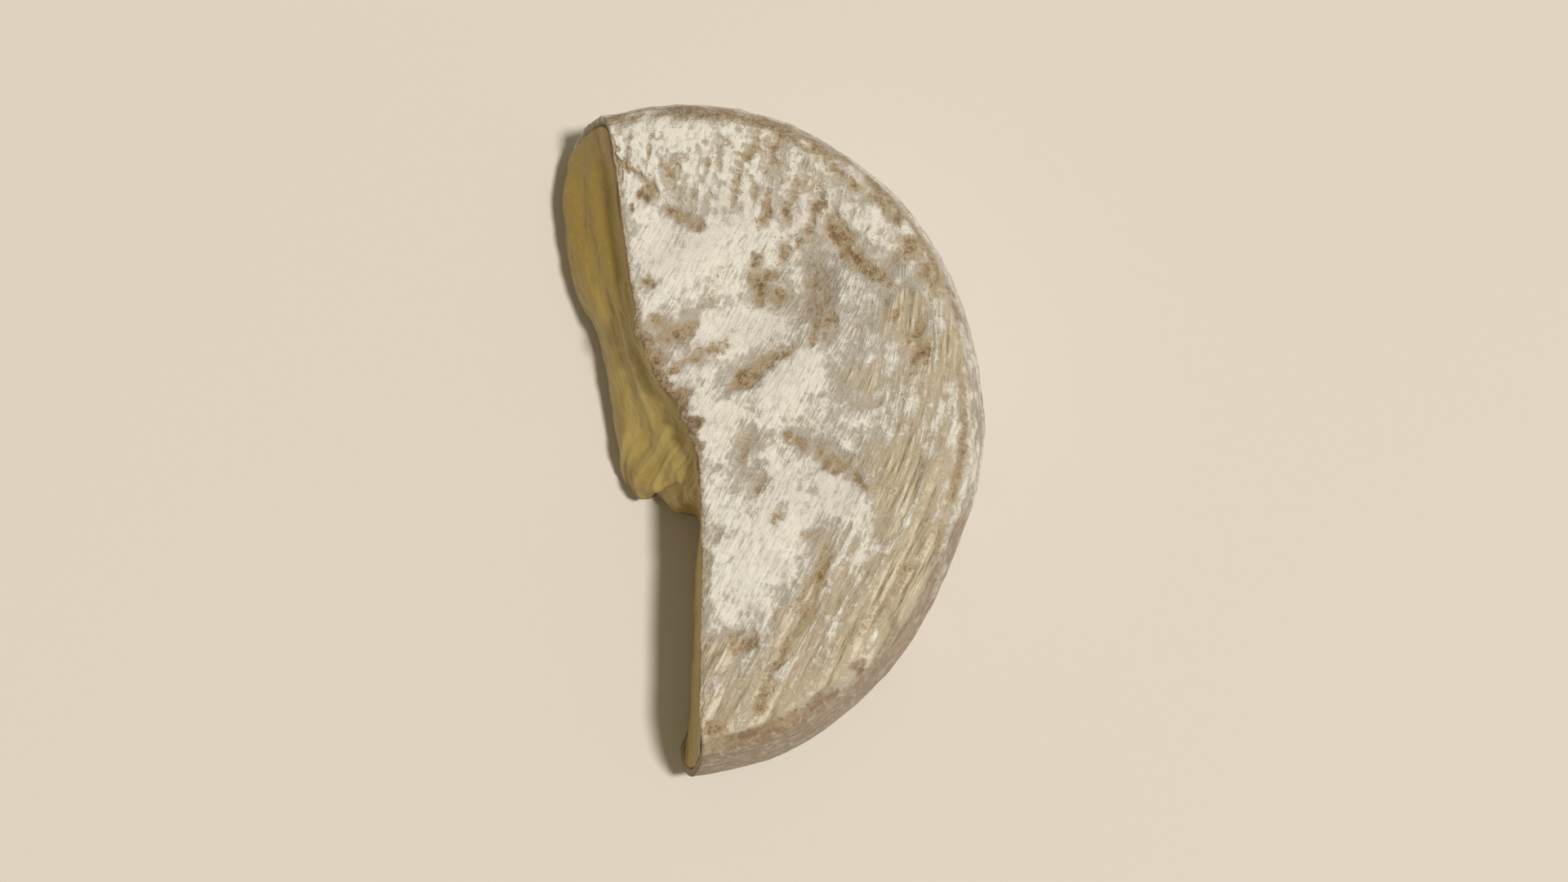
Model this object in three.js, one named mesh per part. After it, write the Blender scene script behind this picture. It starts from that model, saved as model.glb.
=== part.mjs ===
// Half of a small soft-ripened cheese wheel with a white mould rind, lying on its flat base.
// It is one solid: a slightly oval wheel with a worn shoulder and a sagging flank, cut from side to side.
// The older half of the cut has slumped out over the base and was torn at its inner end; the newer half is clean.
//
// Millimetres, +Z up. The origin is where the wheel's own axis meets the surface that it rests on.
// The cut faces -X, and the round flank faces +X.
import * as THREE from "three";
import { LoftGeometry } from "three/addons/geometries/LoftGeometry.js";

const { degToRad, lerp, smoothstep } = THREE.MathUtils;

// ---------------------------------------------------------------- driving sizes

// The whole wheel, before it was cut.
const RADIUS = 54.3; // mean radius at the widest part of the flank
const OVAL = 0.045; // share by which the soft wheel is longer along OVAL_ANGLE, and shorter across it
const OVAL_ANGLE = degToRad(62);
const FULLER = 1.9; // how far it swells past that oval about FULLER_ANGLE
const FULLER_ANGLE = degToRad(-62);
const FULLER_SPREAD = degToRad(22);
const HEIGHT = 28.5;
const SHOULDER = 5.5; // radius of the worn upper edge
const FOOT = 3.5; // radius of the lower edge
const SAG = 1.2; // how far the flank swells past its two edges
const WORN = 0.35; // share by which the edges are rounder on the most worn side, and sharper opposite it
const WORN_SIDE = degToRad(-40);

// The cut, from the upper tip (+Y) to the lower one (-Y). Each station gives where the rind ends on top
// and how far out the paste comes near the base.
const UPPER_TIP = { rind: degToRad(99.9), foot: degToRad(108.5) };
const LOWER_TIP = { rind: degToRad(-82.4), foot: degToRad(-87.0) };
const STATIONS = [
  { rind: [-7.7, 43], foot: [-17.3, 43.5] },
  { rind: [-6.5, 33], foot: [-16.4, 34.5] },
  { rind: [-5.2, 24.5], foot: [-14.9, 27.5] },
  { rind: [-3.6, 16], foot: [-11.0, 19.5] },
  { rind: [0.1, 7.7], foot: [-9.2, 10] },
  { rind: [4.3, 1.5], foot: [-7.8, 1] },
  { rind: [5.7, -3.2], foot: [-6.2, -5] }, // the first of the two tongues that the torn paste ends in
  { rind: [6.1, -5.8], foot: [-3.9, -8.2] },
  { rind: [6.2, -7.6], foot: [-1.3, -6.6] }, // the notch between the tongues
  { rind: [6.3, -9.4], foot: [1.6, -10.4] }, // the second tongue
  { rind: [6.4, -12], foot: [5.4, -11.2] }, // the inner corner
  { rind: [6.6, -22], foot: [5.1, -22] },
  { rind: [6.5, -32], foot: [4.9, -32] },
  { rind: [6.4, -42], foot: [4.8, -41.5] },
];
const TORN_END = 10; // the second tongue, counting the upper tip as 0: past it the face is the newer one
const FACE_STEEP = [0.16, 0.92]; // below and above these shares of the height the face is upright
const DRAG_DEPTH = 0.35; // ridges that the knife and the slumping left along the older face
const DRAG_PITCH = 8;
const DRAG_SWAY = 0.8; // how far the ridges rise and fall from station to station
const DRAG_SWAY_RATE = 1.3;
const WAVE_DEPTH = 0.3; // slight waves that the knife left in the newer face
const WAVE_SIZE = 9;
const TUCK = 0.9; // how far the slumped paste curls under at the base
const TUCK_HEIGHT = 2.5;

// Hollows pressed into the top. The angle is that of the long axis, from +X.
const DENTS = [
  { x: 16, y: 24, long: 12.5, wide: 9.5, angle: 20, depth: 3.1 },
  { x: 24, y: 31, long: 8, wide: 5, angle: 65, depth: 0.8 },
  { x: 15, y: 11, long: 8, wide: 4.5, angle: 35, depth: 1.0 },
  { x: 28, y: -5, long: 11, wide: 4, angle: -35, depth: 0.9 },
  { x: 41, y: 18, long: 6, wide: 5, angle: 60, depth: 0.7 },
  { x: 27, y: -16, long: 7, wide: 4.5, angle: 60, depth: 0.9 },
  { x: 13, y: -34, long: 7, wide: 4, angle: 50, depth: 1.1 },
  { x: 1, y: 33, long: 7, wide: 5, angle: 80, depth: 0.5 },
];
const ROLL = 0.8; // height of the broad unevenness of the top
const ROLL_SIZE = 17;
const RIPPLE = 0.22; // height of the shallow ridges that run across the top
const RIPPLE_PITCH = 9;
const RIPPLE_ANGLE = degToRad(63); // the way the ridges run
const RIPPLE_BEND = 2.5; // how far the ridges stray from straight lines
const RIPPLE_BEND_SIZE = 20;
const RIPPLE_FADE = [5, 30]; // the ridges grow from nothing to their full height between these x
const WOBBLE = 0.5; // unevenness of the flank
const WOBBLE_SIZE = 17;
const WIDEST_AT = 0.42; // the share of the height at which the sagging flank is pulled out most
const LIFT_FROM = 0.35; // the share of the height above which the side follows the relief of the top

// How finely the surface is divided.
const SPAN_STEPS = 5; // points for each span between stations
const ARC_STEPS = 90; // points round the flank
const SIDE_RINGS = 20; // rings up the side
const TOP_RINGS = 13; // rings from the upper edge in to the middle of the top
const MIDDLE = { x: 24, y: 0 }; // where the rings of the top close

// ---------------------------------------------------------------- unevenness

// A repeatable number from 0 to 1 for each corner of a grid.
function cornerValue(i, j, k) {
  const s = Math.sin(i * 127.1 + j * 311.7 + k * 74.7) * 43758.5453;
  return s - Math.floor(s);
}

// Smooth unevenness from -1 to 1, in lumps of about the given size.
function lumps(x, y, z, size) {
  const p = [x / size, y / size, z / size];
  const cell = p.map(Math.floor);
  const [fx, fy, fz] = p.map((v, n) => smoothstep(v - cell[n], 0, 1));
  const corner = (a, b, c) => cornerValue(cell[0] + a, cell[1] + b, cell[2] + c);
  const edge = (b, c) => lerp(corner(0, b, c), corner(1, b, c), fx);
  return 2 * lerp(lerp(edge(0, 0), edge(1, 0), fy), lerp(edge(0, 1), edge(1, 1), fy), fz) - 1;
}

// How far a dent lowers the top at a point.
function dentDepth({ x, y, long, wide, angle, depth }, px, py) {
  const a = degToRad(angle);
  const along = ((px - x) * Math.cos(a) + (py - y) * Math.sin(a)) / long;
  const across = ((py - y) * Math.cos(a) - (px - x) * Math.sin(a)) / wide;
  return depth * Math.exp(-((along * along + across * across) ** 1.5));
}

// Height of the top above or below HEIGHT.
function relief(x, y) {
  const bend = RIPPLE_BEND * lumps(x, y, 50, RIPPLE_BEND_SIZE);
  const across = y * Math.cos(RIPPLE_ANGLE) - x * Math.sin(RIPPLE_ANGLE) + bend;
  const ripple = RIPPLE * Math.sin((2 * Math.PI * across) / RIPPLE_PITCH) * smoothstep(x, ...RIPPLE_FADE);
  const roll = ROLL * lumps(x, y, 7, ROLL_SIZE);
  return DENTS.reduce((height, dent) => height - dentDepth(dent, x, y), roll + ripple);
}

// ---------------------------------------------------------------- flank and cut

// The wheel's section at the flank: x is measured outwards from the wheel's radius, and y is the height.
const section = new THREE.Path();
section.absarc(-SAG - FOOT, FOOT, FOOT, -Math.PI / 2, 0, false);
section.quadraticCurveTo(SAG, WIDEST_AT * HEIGHT, -SAG, HEIGHT - SHOULDER);
section.absarc(-SAG - SHOULDER, HEIGHT - SHOULDER, SHOULDER, 0, Math.PI / 2, false);

// A point of the flank: level runs from 0 at the base to 1 where the shoulder meets the top.
function flankPoint(angle, level) {
  const s = section.getPointAt(level);
  const fuller = FULLER * Math.exp(-(((angle - FULLER_ANGLE) / FULLER_SPREAD) ** 2));
  const widest = RADIUS * (1 + OVAL * Math.cos(2 * (angle - OVAL_ANGLE))) + fuller;
  const [x, y] = [Math.cos(angle), Math.sin(angle)].map((v) => v * widest);
  const inset = s.x * (1 + WORN * Math.cos(angle - WORN_SIDE));
  const r = widest + inset + WOBBLE * lumps(x, y, s.y, WOBBLE_SIZE) * smoothstep(s.y, 0, FOOT);
  return new THREE.Vector3(r * Math.cos(angle), r * Math.sin(angle), s.y);
}

// A point of the cut at one station and level, before its ridges. The paste drops from the rind, and then bulges.
function stationPoint({ rind, foot }, level) {
  const z = section.getPointAt(level).y;
  const top = new THREE.Vector2(...rind);
  const out = new THREE.Vector2(...foot).sub(top);
  const reach = out.length() * (1 - smoothstep(z / HEIGHT, ...FACE_STEEP)) - TUCK * (1 - smoothstep(z, 0, TUCK_HEIGHT));
  top.addScaledVector(out.normalize(), reach);
  return new THREE.Vector3(top.x, top.y, z);
}

// Ridges along the older face and slight waves in the newer one, as a distance out of the face. It is 0 at the rind.
function faceRelief(station, z) {
  const up = z / HEIGHT;
  const older = 1 - smoothstep(station, TORN_END - 1, TORN_END + 1);
  const sway = DRAG_SWAY * Math.sin(DRAG_SWAY_RATE * station);
  const drag = DRAG_DEPTH * Math.sin((2 * Math.PI * z) / DRAG_PITCH + sway);
  const newer = WAVE_DEPTH * lumps(0, WAVE_SIZE * station, z, WAVE_SIZE);
  return 4 * up * (1 - up) * lerp(newer, drag, older);
}

// The cut at one level, as points from the upper tip to the lower one, both left out.
function cutPoints(level) {
  const angleAt = (tip) => lerp(tip.foot, tip.rind, section.getPointAt(level).y / HEIGHT);
  const stops = [
    flankPoint(angleAt(UPPER_TIP), level),
    ...STATIONS.map((station) => stationPoint(station, level)),
    flankPoint(angleAt(LOWER_TIP), level),
  ];
  const curve = new THREE.CatmullRomCurve3(stops, false, "centripetal");
  const spans = stops.length - 1;
  const steps = spans * SPAN_STEPS;
  const inner = Array.from({ length: steps - 1 }, (_, n) => (n + 1) / steps);
  return inner.map((t) => {
    const point = curve.getPoint(t);
    const along = curve.getTangent(t);
    const out = new THREE.Vector3(along.y, -along.x, 0).normalize();
    const atTip = smoothstep(t * spans, 0, 1) * (1 - smoothstep(t * spans, spans - 1, spans));
    return point.addScaledVector(out, atTip * faceRelief(t * spans, point.z));
  });
}

// ---------------------------------------------------------------- rings and skin

// One closed ring of the side, anticlockwise from the lower tip as seen from above.
function sideRing(level) {
  const up = section.getPointAt(level).y / HEIGHT;
  const from = lerp(LOWER_TIP.foot, LOWER_TIP.rind, up);
  const to = lerp(UPPER_TIP.foot, UPPER_TIP.rind, up);
  const arc = Array.from({ length: ARC_STEPS + 1 }, (_, n) => flankPoint(lerp(from, to, n / ARC_STEPS), level));
  const ring = [...arc, ...cutPoints(level)];
  ring.forEach((p) => (p.z += relief(p.x, p.y) * smoothstep(up, LIFT_FROM, 1)));
  return ring;
}

// One ring of the top: the upper edge drawn in by a share of its way to the middle, where the last ring is a point.
function topRing(edge, share) {
  return edge.map((p) => {
    const x = lerp(p.x, MIDDLE.x, share);
    const y = lerp(p.y, MIDDLE.y, share);
    return new THREE.Vector3(x, y, HEIGHT + relief(x, y));
  });
}

function cheeseSolid() {
  const sides = Array.from({ length: SIDE_RINGS }, (_, n) => sideRing(n / (SIDE_RINGS - 1)));
  const edge = sides[sides.length - 1];
  const tops = Array.from({ length: TOP_RINGS }, (_, n) => topRing(edge, (n + 1) / TOP_RINGS));
  return new LoftGeometry([...sides, ...tops], { capStart: true });
}

// ---------------------------------------------------------------- the part

const rindMaterial = new THREE.MeshStandardMaterial({ color: 0xe4dccb, roughness: 0.85, metalness: 0 });

const cheese = new THREE.Mesh(cheeseSolid(), rindMaterial);
cheese.name = "cheese_half";

const part = new THREE.Group();
part.add(cheese);

export default part;
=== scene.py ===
# Half of a small soft-ripened cheese wheel: a thin mould rind grown round a ripe, slumping paste.
# The two are made as they are in the real cheese, and together they replace the one solid of the frame.
import math

import bmesh
import bpy
import numpy as np
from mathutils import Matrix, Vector, noise


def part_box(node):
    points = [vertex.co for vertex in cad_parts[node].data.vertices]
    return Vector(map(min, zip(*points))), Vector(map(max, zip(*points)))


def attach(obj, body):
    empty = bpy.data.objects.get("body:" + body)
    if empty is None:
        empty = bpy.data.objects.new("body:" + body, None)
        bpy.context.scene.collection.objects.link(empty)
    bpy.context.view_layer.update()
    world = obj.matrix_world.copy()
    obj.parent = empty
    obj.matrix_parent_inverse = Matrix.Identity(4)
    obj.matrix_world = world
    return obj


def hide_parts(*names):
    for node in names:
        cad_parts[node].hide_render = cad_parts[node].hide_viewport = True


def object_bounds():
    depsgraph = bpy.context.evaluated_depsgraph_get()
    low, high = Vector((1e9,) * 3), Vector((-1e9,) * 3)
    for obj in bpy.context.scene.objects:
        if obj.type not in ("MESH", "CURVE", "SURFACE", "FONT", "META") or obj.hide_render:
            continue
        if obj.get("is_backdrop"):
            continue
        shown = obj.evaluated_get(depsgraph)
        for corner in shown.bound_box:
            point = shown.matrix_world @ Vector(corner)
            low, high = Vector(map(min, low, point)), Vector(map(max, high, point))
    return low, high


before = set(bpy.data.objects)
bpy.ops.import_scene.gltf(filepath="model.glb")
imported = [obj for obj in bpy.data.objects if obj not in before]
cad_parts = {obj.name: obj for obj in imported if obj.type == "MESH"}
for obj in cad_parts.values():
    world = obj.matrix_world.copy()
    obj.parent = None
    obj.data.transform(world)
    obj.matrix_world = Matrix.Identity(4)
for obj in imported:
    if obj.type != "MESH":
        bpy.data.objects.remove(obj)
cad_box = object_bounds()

NODE = "cheese_half"
node_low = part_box(NODE)[0]  # its lowest corner

# -------------------- the rind
# A skin of white mould about a millimetre thick, grown all over the wheel and cut through with it. Where the
# bloom is rubbed off, the brown skin shows, in specks, cracks and the streaks that the straw wrapper left.
# The older half of the cut slumped out over the base and tore at its inner end; the newer half is clean.
MM = 0.001  # all lengths here are in millimetres until a mesh or a material takes them
RADIUS, OVAL, OVAL_ANGLE = 54.3, 0.045, math.radians(62)  # mean radius, and how much longer it is at an angle
FULLER, FULLER_ANGLE, FULLER_SPREAD = 1.9, math.radians(-62), math.radians(22)  # a swelling past that oval
HEIGHT = 28.5
SHOULDER, FOOT = 5.5, 3.5  # radii of the upper and the lower edge
SAG, PULLED_AT = 1.2, 0.42  # how far the flank swells past its edges, and towards which share of the height
WORN, WORN_SIDE = 0.35, math.radians(-40)  # how much rounder the edges are on the most worn side
ARC_STEPS, BOW_STEPS, SECTION_STEPS = 60, 120, 400  # points of the edges, the flank and the whole section
SECTION_PASSES = 60
UPPER_TIP = {"rind": math.radians(99.9), "foot": math.radians(108.5)}
LOWER_TIP = {"rind": math.radians(-82.4), "foot": math.radians(-87.0)}
STATIONS = [  # from +Y to -Y: where the rind ends on top, and how far out the paste comes near the base
    ((-7.7, 43), (-17.3, 43.5)),
    ((-6.5, 33), (-16.4, 34.5)),
    ((-5.2, 24.5), (-14.9, 27.5)),
    ((-3.6, 16), (-11.0, 19.5)),
    ((0.1, 7.7), (-9.2, 10)),
    ((4.3, 1.5), (-7.8, 1)),
    ((5.7, -3.2), (-6.2, -5)),
    ((6.1, -5.8), (-3.9, -8.2)),
    ((6.2, -7.6), (-1.3, -6.6)),
    ((6.3, -9.4), (1.6, -10.4)),
    ((6.4, -12), (5.4, -11.2)),
    ((6.6, -22), (5.1, -22)),
    ((6.5, -32), (4.9, -32)),
    ((6.4, -42), (4.8, -41.5)),
]
SPANS = len(STATIONS) + 1
OLDER_END = (9, 11)  # stations over which the older half of the cut gives way to the newer one
FACE_STEEP = (0.16, 0.92)  # below and above these shares of the height the cut is upright
DRAG_DEPTH, DRAG_PITCH = 0.35, 8  # ridges that the knife and the slumping left along the older half
DRAG_SWAY, DRAG_SWAY_RATE = 0.8, 1.3  # how far they rise and fall from station to station
WAVE_DEPTH, WAVE_SIZE = 0.3, 9  # slight waves in the newer half
TUCK, TUCK_HEIGHT = 0.9, 2.5  # how far the slumped paste curls under at the base
DENTS = [  # hollows in the top: x, y, half length, half width, angle of the long axis, depth
    (16, 24, 12.5, 9.5, 20, 3.1),
    (24, 31, 8, 5, 65, 0.8),
    (15, 11, 8, 4.5, 35, 1),
    (28, -5, 11, 4, -35, 0.9),
    (41, 18, 6, 5, 60, 0.7),
    (27, -16, 7, 4.5, 60, 0.9),
    (13, -34, 7, 4, 50, 1.1),
    (1, 33, 7, 5, 80, 0.5),
]
ROLL, ROLL_SIZE, ROLL_SLICE = 0.8, 17, 7  # broad unevenness of the top
RIPPLE, RIPPLE_PITCH, RIPPLE_ANGLE = 0.22, 9, math.radians(63)  # shallow ridges that run across the top
RIPPLE_BEND, RIPPLE_BEND_SIZE, RIPPLE_SLICE = 2.5, 20, 50  # how far the ridges stray from straight lines
RIPPLE_FADE = (5, 30)  # the ridges grow to their full height between these x
WOBBLE, WOBBLE_SIZE = 0.5, 17  # unevenness of the flank
LIFT_FROM = 0.35  # the share of the height above which the side follows the relief of the top


def smooth(v, low, high):
    """0 below low, 1 above high, and an even curve between them."""
    share = np.clip((v - low) / (high - low), 0, 1)
    return share * share * (3 - 2 * share)


def lerp(a, b, share):
    return a + (b - a) * share


def corner_value(i, j, k):
    """A scattered value from 0 to 1, always the same for the same corner."""
    s = np.sin(i * 127.1 + j * 311.7 + k * 74.7) * 43758.5453
    return s - np.floor(s)


def lumps(x, y, z, size):
    """Smooth unevenness from -1 to 1, in lumps of about the given size."""
    x, y, z = np.broadcast_arrays(x / size, y / size, z / size)
    cx, cy, cz = np.floor(x), np.floor(y), np.floor(z)
    fx, fy, fz = (smooth(p - c, 0, 1) for p, c in ((x, cx), (y, cy), (z, cz)))

    def edge(b, c):
        return lerp(corner_value(cx, cy + b, cz + c), corner_value(cx + 1, cy + b, cz + c), fx)

    return 2 * lerp(lerp(edge(0, 0), edge(1, 0), fy), lerp(edge(0, 1), edge(1, 1), fy), fz) - 1


def oval_distance(x, y, mark):
    """Distance from a mark's centre, as a share of its half length and half width."""
    cx, cy, length, width, angle = mark[:5]
    a = math.radians(angle)
    along = ((x - cx) * math.cos(a) + (y - cy) * math.sin(a)) / length
    across = ((y - cy) * math.cos(a) - (x - cx) * math.sin(a)) / width
    return np.sqrt(along**2 + across**2)


def relief(x, y):
    """Height of the top above or below HEIGHT."""
    bend = RIPPLE_BEND * lumps(x, y, RIPPLE_SLICE, RIPPLE_BEND_SIZE)
    across = y * math.cos(RIPPLE_ANGLE) - x * math.sin(RIPPLE_ANGLE) + bend
    height = RIPPLE * np.sin(2 * math.pi * across / RIPPLE_PITCH) * smooth(x, *RIPPLE_FADE)
    height = height + ROLL * lumps(x, y, ROLL_SLICE, ROLL_SIZE)
    for dent in DENTS:
        height = height - dent[5] * np.exp(-oval_distance(x, y, dent) ** 3)
    return height


def run_along(line):
    """The distance from the first point of a line to each of its points."""
    return np.concatenate([[0], np.cumsum(np.linalg.norm(np.diff(line, axis=0), axis=1))])


def flank_section(steps):
    """The flank's section from foot to shoulder: inset from the widest radius, height, and normal."""
    turn = np.linspace(0, math.pi / 2, ARC_STEPS)
    foot = np.stack([-SAG - FOOT + FOOT * np.sin(turn), FOOT - FOOT * np.cos(turn)], 1)
    shoulder = np.stack([SHOULDER * np.cos(turn), SHOULDER * np.sin(turn)], 1)
    shoulder = shoulder + (-SAG - SHOULDER, HEIGHT - SHOULDER)
    t = np.linspace(0, 1, BOW_STEPS + 1)[1:-1, None]
    pulled_to = np.array((SAG, PULLED_AT * HEIGHT))
    bow = (1 - t) ** 2 * foot[-1] + 2 * t * (1 - t) * pulled_to + t**2 * shoulder[0]
    line = np.concatenate([foot, bow, shoulder])
    run = run_along(line)
    even = np.linspace(0, run[-1], steps)
    line = np.stack([np.interp(even, run, line[:, n]) for n in (0, 1)], 1)
    for _ in range(SECTION_PASSES):  # softens the two places where the arcs meet the bow
        line[1:-1] = (line[:-2] + 2 * line[1:-1] + line[2:]) / 4
    along = np.gradient(line, axis=0)
    normal = np.stack([along[:, 1], -along[:, 0]], 1)
    return line[:, 0], line[:, 1], normal / np.linalg.norm(normal, axis=1, keepdims=True)


section_inset, section_z, section_normal = flank_section(SECTION_STEPS)


def widest(angle):
    """The wheel's radius where its flank stands out most."""
    fuller = FULLER * np.exp(-(((angle - FULLER_ANGLE) / FULLER_SPREAD) ** 2))
    return RADIUS * (1 + OVAL * np.cos(2 * (angle - OVAL_ANGLE))) + fuller


def flank_point(angle, inset, z):
    """A point of the flank, before the relief of the top lifts it."""
    wide = widest(angle)
    wobble = WOBBLE * lumps(wide * np.cos(angle), wide * np.sin(angle), z, WOBBLE_SIZE) * smooth(z, 0, FOOT)
    r = wide + inset * (1 + WORN * np.cos(angle - WORN_SIDE)) + wobble
    return np.stack([r * np.cos(angle), r * np.sin(angle), z + 0 * r], -1)


def tip_angle(tip, z):
    """The angle at which the cut meets the flank, at each height."""
    return lerp(tip["foot"], tip["rind"], z / HEIGHT)


def lifted(points):
    """The same points, raised or lowered with the relief of the top, the more the nearer they are to it."""
    x, y, z = np.moveaxis(points, -1, 0)
    return np.stack([x, y, z + relief(x, y) * smooth(z / HEIGHT, LIFT_FROM, 1)], -1)


def face_relief(station, z):
    """Ridges along the older face and slight waves in the newer one, as a distance out of the face."""
    up = z / HEIGHT
    older = 1 - smooth(station, *OLDER_END)
    sway = DRAG_SWAY * np.sin(DRAG_SWAY_RATE * station)
    drag = DRAG_DEPTH * np.sin(2 * math.pi * z / DRAG_PITCH + sway)
    newer = WAVE_DEPTH * lumps(0, WAVE_SIZE * station, z, WAVE_SIZE)
    return 4 * up * (1 - up) * lerp(newer, drag, older)


def cut_stops(z):
    """The points that the cut passes through at each height, from tip to tip."""
    inset = np.interp(z, section_z, section_inset)
    rind = np.array([s[0] for s in STATIONS], float)
    foot = np.array([s[1] for s in STATIONS], float)
    length = np.linalg.norm(foot - rind, axis=1)
    out = (foot - rind) / length[:, None]
    tucked = TUCK * (1 - smooth(z, 0, TUCK_HEIGHT))[:, None]
    reach = length * (1 - smooth(z / HEIGHT, *FACE_STEEP))[:, None] - tucked
    plan = rind + out * reach[..., None]
    inner = np.concatenate([plan, np.broadcast_to(z[:, None, None], (*reach.shape, 1))], 2)
    upper = flank_point(tip_angle(UPPER_TIP, z), inset, z)[:, None]
    lower = flank_point(tip_angle(LOWER_TIP, z), inset, z)[:, None]
    return np.concatenate([upper, inner, lower], 1)


def cut_points(station, z):
    """The cut, one row for each station and one column for each height, and the way out of it."""
    stops = cut_stops(z)
    span = np.clip(np.floor(station).astype(int), 0, SPANS - 1)
    share = (station - span)[None, :, None]
    padded = np.concatenate([2 * stops[:, :1] - stops[:, 1:2], stops, 2 * stops[:, -1:] - stops[:, -2:-1]], 1)
    p0, p1, p2, p3 = (padded[:, span + n] for n in range(4))
    hops = ((p0, p1), (p1, p2), (p2, p3))
    d0, d1, d2 = (np.sqrt(np.linalg.norm(b - a, axis=2))[..., None] for a, b in hops)
    m1 = d1 * ((p1 - p0) / d0 - (p2 - p0) / (d0 + d1) + (p2 - p1) / d1)
    m2 = d1 * ((p2 - p1) / d1 - (p3 - p1) / (d1 + d2) + (p3 - p2) / d2)
    square, cube = 3 * (p2 - p1) - 2 * m1 - m2, 2 * (p1 - p2) + m1 + m2
    points = p1 + m1 * share + square * share**2 + cube * share**3
    ahead = m1 + 2 * square * share + 3 * cube * share**2
    out = np.stack([ahead[..., 1], -ahead[..., 0], 0 * ahead[..., 0]], -1)
    out = out / np.linalg.norm(out, axis=-1, keepdims=True)
    at_tip = smooth(station, 0, 1) * (1 - smooth(station, SPANS - 1, SPANS))
    points = points + out * (at_tip * face_relief(station[None], z[:, None]))[..., None]
    return lifted(points).swapaxes(0, 1), out.swapaxes(0, 1)


ROWS = 350  # rows of points from tip to tip
BASE_STEPS, FLANK_STEPS, TOP_STEPS = 14, 78, 150  # points of a row, in its three parts from the base up
FINE_STATIONS = 1200  # points along the cut, to find the rows' even distances from
RIND_THICK = 1.1
EDGE_STEPS = 4  # points through the rind's thickness where it is cut
LINE_INSIDE = 4  # how far inside the cut the rows of the base come to a smooth line
LINE_REACH, LINE_WIDTH = 30, 9.0  # over how many rows that line is smoothed
SAME_POINT = 0.002  # points nearer than this become one
TORN_START, TORN_STOP = (3.4, 4.0), (6.5, 7.5)  # stations over which the rind's torn edge begins and ends
RAGGED_CUT, RAGGED_TORN, TORN_OUT = 0.22, 1.0, 0.5  # how uneven the rind's edge is, and how far it stands out
TIP_FADE = 0.3  # the share of the end spans over which that unevenness fades
TOP_LIMIT = (0.3, 0.85)  # the flank becomes top where its normal's height is between these
WORN_TOP_LIMIT = (0.15, 0.55)  # the same on the right, where the wrapper wore the shoulder
RUBBED_TOP_LIMIT = (0.72, 0.95)  # and at the lower tip, where the flank is rubbed brown
LEVEL = 0.9999  # the height of a normal that points nearly straight up
BLOOM_THICK = 0.32  # how far the white bloom stands above the bare skin
STAIN_DEPTH = 0.22
STAIN_INSIDE = 0.35  # how stained the skin is at its cut edge and inside
STREAK_DEPTH, UPPER_STREAK_DEPTH, HOOP_DEPTH = 0.16, 0.14, 0.2  # relief of the streaks
LUMP_DEPTH, GRAIN_DEPTH = 0.2, 0.1  # relief of the skin's lumps and grain
FOOT_FADE = 2  # the height below which the relief fades out
MARK_BEND = 1.3  # how far the outlines of the marks stray
EDGE_BROWN, TORN_BROWN, SPIKE_BROWN = 0.7, 1.3, 1.9  # width of the brown along the cut, and what tearing adds
SPIKE_WIDTH, SPIKE_LENGTH = 1.3, 6  # spikes of brown that reach in from the torn edge
STREAK_ANGLE = math.radians(63)  # the way the wrapper's straws lay over the top
STREAK_BEND, BEND_X, BEND_Y = 0.006, (30, 47), -18  # how they turn with the rim: at these x, above this y
UPPER_STREAK_ANGLE = math.radians(80)
UPPER_BAND = (32, 42)  # the y over which those more upright straws begin
LOW_RIGHT = (-52, 22)  # degrees round the wheel over which the rubbed flank gives way to white bloom
WIDE_FLANK = (-62, -48)  # degrees over which the rubbed flank narrows
WORN_RIGHT = (-32, -18)  # degrees over which the worn shoulder ends
PAST_BACK = -130  # degrees, below which a point is under the older cut, across the axis
BARE_DEPTH, BARE_ROUND = (9, 27), (16, 34)  # mm in from the rim and degrees round it, where straw marks fade
RIM_LINE_AT = (0.7, 0.25)  # the height of the normal at the rim's brown line: usual, worn right
RIM_LINE_WIDE, RIM_WIDENS = (0.04, 0.2), (8, 40)  # its half width there, and the degrees over which it widens
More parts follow.
